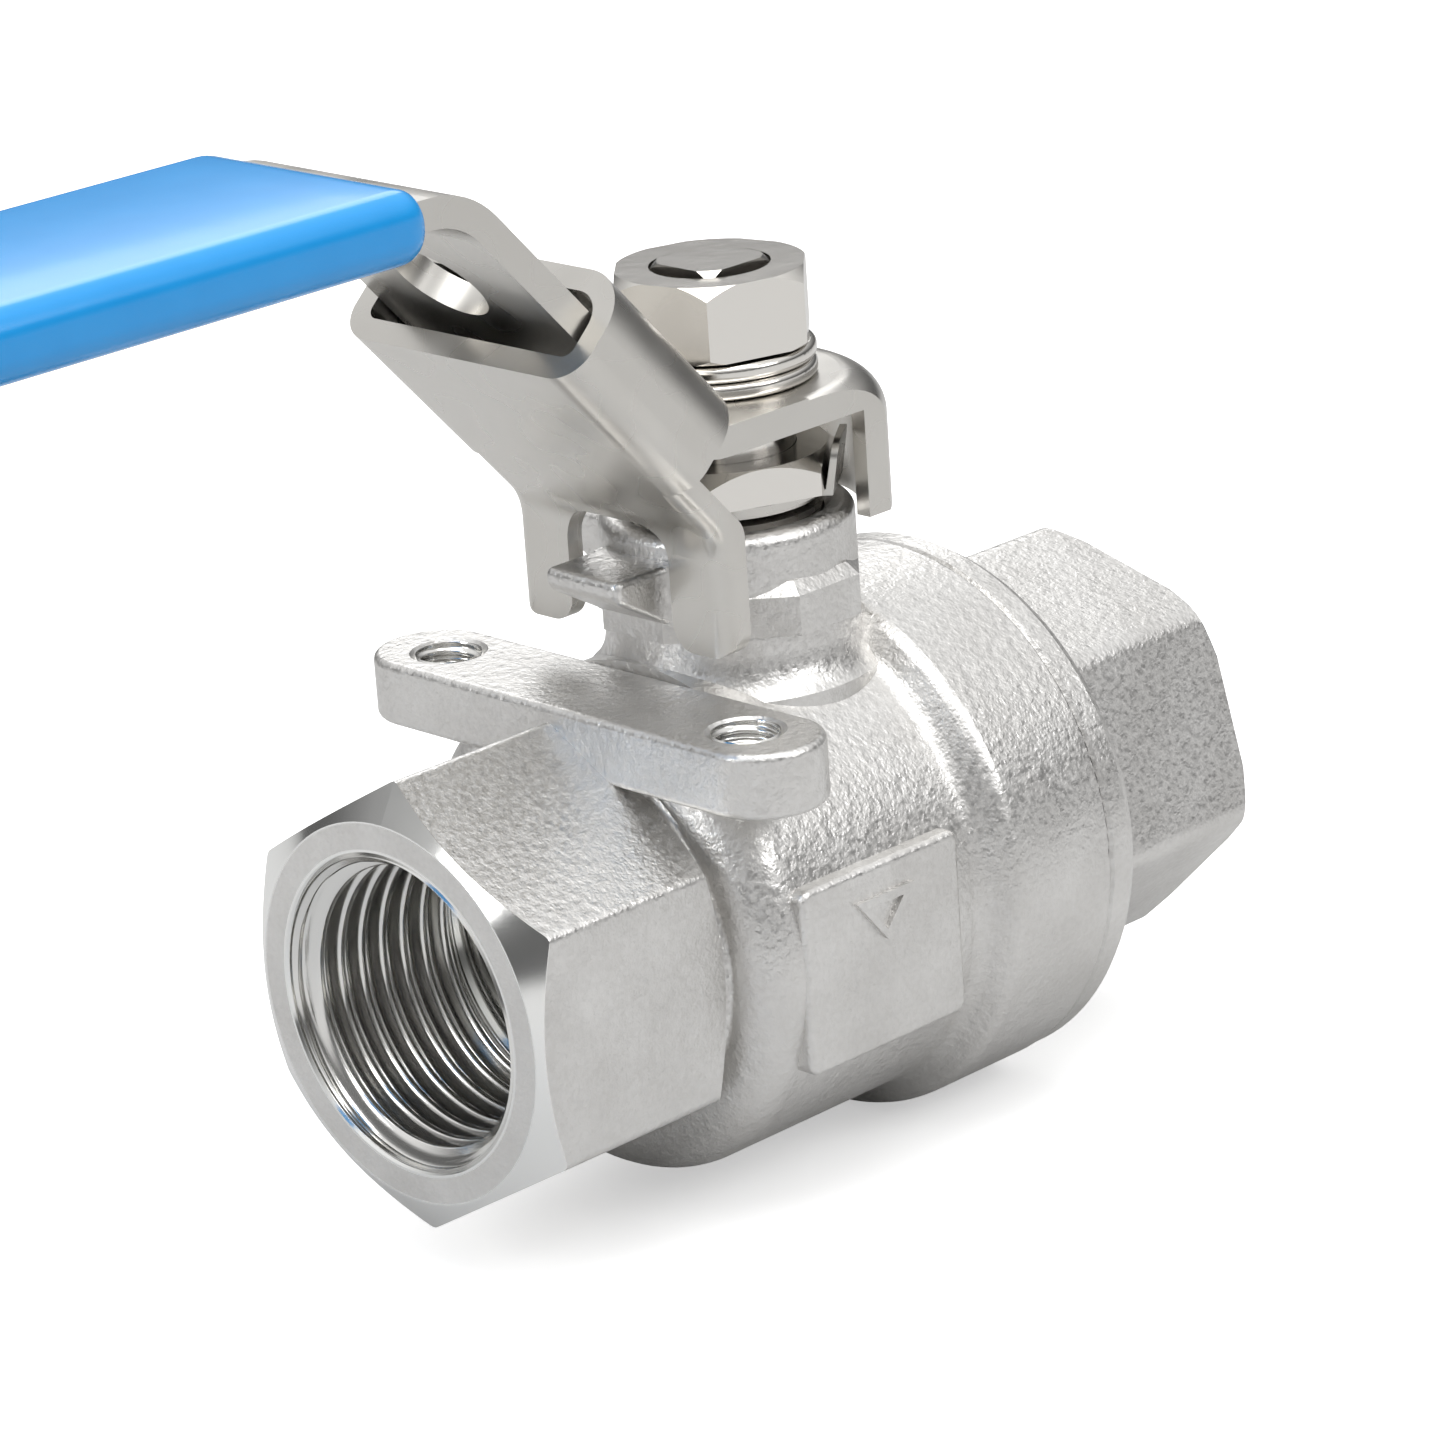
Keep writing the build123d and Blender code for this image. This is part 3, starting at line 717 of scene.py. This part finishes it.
class VALVE_OT_studio(bpy.types.Operator):
    """Sets the pale floor, soft lights and the camera"""

    bl_idname = "valve.studio"
    bl_label = "Studio"

    def execute(self, context):
        self.floor()
        self.world(context.scene)
        self.lights()
        self.camera(context.scene)
        context.scene.view_settings.view_transform = "Standard"
        context.scene.view_settings.look = "None"
        return {"FINISHED"}

    def floor(self):
        """White to the eye, with a little glow; pale grey to the metal that reflects it."""
        low = min(BODY_LOW.z, CAP_LOW.z)
        half = 3.0
        points = [(-half, -half, low), (half, -half, low), (half, half, low), (-half, half, low)]
        mesh = bpy.data.meshes.new("floor")
        mesh.from_pydata(points, [], [(0, 1, 2, 3)])
        made = bpy.data.objects.new("floor", mesh)
        bpy.context.scene.collection.objects.link(made)
        paint, tree = new_material("floor_white")
        seen = add_node(tree, "ShaderNodeLightPath").outputs["Is Camera Ray"]
        tone = add_node(tree, "ShaderNodeMix", {"data_type": "RGBA"},
                        {"Factor": seen, "A": (0.56, 0.56, 0.56, 1), "B": (0.98, 0.98, 0.98, 1)})
        glow = add_node(tree, "ShaderNodeMath", {"operation": "MULTIPLY"}, {0: seen, 1: 0.45})
        shader = add_node(tree, "ShaderNodeBsdfPrincipled", None,
                          {"Base Color": tone.outputs["Result"], "Roughness": 0.9,
                           "Specular IOR Level": 0.1, "Emission Color": (1, 1, 1, 1),
                           "Emission Strength": glow.outputs[0]})
        add_node(tree, "ShaderNodeOutputMaterial", None, {"Surface": shader.outputs[0]})
        mesh.materials.append(paint)

    def world(self, scene):
        """White to the eye; to the metal it is bright overhead and dark towards the horizon."""
        world = bpy.data.worlds.new("studio")
        world.use_nodes = True
        tree = world.node_tree
        tree.nodes.clear()
        way = add_node(tree, "ShaderNodeTexCoord").outputs["Generated"]
        split = add_node(tree, "ShaderNodeSeparateXYZ", None, {0: way})
        high = add_node(tree, "ShaderNodeMapRange", {"interpolation_type": "SMOOTHSTEP"},
                        {"Value": split.outputs["Z"], "From Min": 0.1, "From Max": 0.8,
                         "To Min": 0.12, "To Max": 0.95})
        seen = add_node(tree, "ShaderNodeLightPath").outputs["Is Camera Ray"]
        power = add_node(tree, "ShaderNodeMix", {"data_type": "FLOAT"},
                         {"Factor": seen, "A": high.outputs["Result"], "B": 1.0})
        sky = add_node(tree, "ShaderNodeBackground", None,
                       {"Color": (1, 1, 1, 1), "Strength": power.outputs["Result"]})
        add_node(tree, "ShaderNodeOutputWorld", None, {"Surface": sky.outputs[0]})
        scene.world = world

    def lights(self):
        """Soft boxes: azimuth and elevation in degrees, distance and size in metres, watts."""
        centre = np.array([STEM_X + 0.01, 0, 0.01])
        boxes = [
            ("top_box", 150, 75, 0.55, 0.45, 1.6),
            ("left_box", 80, 25, 0.60, 0.22, 0.9),
            ("right_box", 200, 35, 0.60, 0.22, 0.7),
            ("rear_box", 320, 35, 0.60, 0.30, 0.5),
        ]
        for name, azimuth, elevation, distance, size, power in boxes:
            lamp = bpy.data.lights.new(name, "AREA")
            lamp.shape = "SQUARE"
            lamp.size = size
            lamp.energy = power
            made = bpy.data.objects.new(name, lamp)
            bpy.context.scene.collection.objects.link(made)
            away = direction(azimuth, elevation)
            made.matrix_world = look_from(centre + away * distance, away, 0.0)

    def camera(self, scene):
        away = direction(CAMERA_AZIMUTH, CAMERA_ELEVATION)
        roll = math.radians(CAMERA_ROLL)
        pose = look_from(np.zeros(3), away, roll)
        right = np.array(pose.col[0][:3])
        up = np.array(pose.col[1][:3])
        across, above, back = CAMERA_PLACE
        place = (across * right + above * up + back * away) * MM
        lens = bpy.data.cameras.new("camera")
        lens.sensor_width = 36.0
        lens.lens = 137.68
        lens.shift_x = 0.0477
        lens.shift_y = -0.0467
        lens.clip_start = 0.01
        lens.clip_end = 50.0
        made = bpy.data.objects.new("camera", lens)
        scene.collection.objects.link(made)
        made.matrix_world = look_from(place, away, roll)
        scene.camera = made


def direction(azimuth, elevation):
    """Unit vector towards an azimuth from -Y and an elevation, both in degrees."""
    a, e = math.radians(azimuth), math.radians(elevation)
    return np.array([math.sin(a) * math.cos(e), -math.cos(a) * math.cos(e), math.sin(e)])


def look_from(place, back, roll):
    """Matrix whose +Z points back at the viewer, rolled about it."""
    forward = -back
    right = np.cross(forward, [0, 0, 1])
    right = right / np.linalg.norm(right)
    up = np.cross(right, forward)
    r = math.cos(roll) * right + math.sin(roll) * up
    u = -math.sin(roll) * right + math.cos(roll) * up
    columns = np.eye(4)
    columns[:3, 0] = r
    columns[:3, 1] = u
    columns[:3, 2] = back
    columns[:3, 3] = place
    return Matrix(columns.tolist())


# ------------------------------------------------------------------ add-on


STEPS = ("finishes", "port_threads", "ear_threads", "grip", "lug_tips", "studio")
SETTINGS = {
    "valve_threads": ValveThreads,
    "valve_grip": ValveGrip,
    "valve_lugs": ValveLugs,
    "valve_finish": ValveFinish,
}


class VALVE_PT_panel(bpy.types.Panel):
    """Lists the valve's operators and settings"""

    bl_label = "Valve"
    bl_idname = "VALVE_PT_panel"
    bl_space_type = "VIEW_3D"
    bl_region_type = "UI"
    bl_category = "Valve"

    def draw(self, context):
        for step in STEPS:
            self.layout.operator("valve." + step)
        for name, kind in SETTINGS.items():
            box = self.layout.box()
            for key in kind.__annotations__:
                box.prop(getattr(context.scene, name), key)


CLASSES = (
    *SETTINGS.values(),
    VALVE_OT_finishes,
    VALVE_OT_port_threads,
    VALVE_OT_ear_threads,
    VALVE_OT_grip,
    VALVE_OT_lug_tips,
    VALVE_OT_studio,
    VALVE_PT_panel,
)


def register():
    for made in CLASSES:
        bpy.utils.register_class(made)
    for name, kind in SETTINGS.items():
        setattr(bpy.types.Scene, name, PointerProperty(type=kind))


def unregister():
    for name in SETTINGS:
        delattr(bpy.types.Scene, name)
    for made in reversed(CLASSES):
        bpy.utils.unregister_class(made)


def main():
    register()
    for step in STEPS:
        getattr(bpy.ops.valve, step)()


if __name__ == "__main__":
    main()
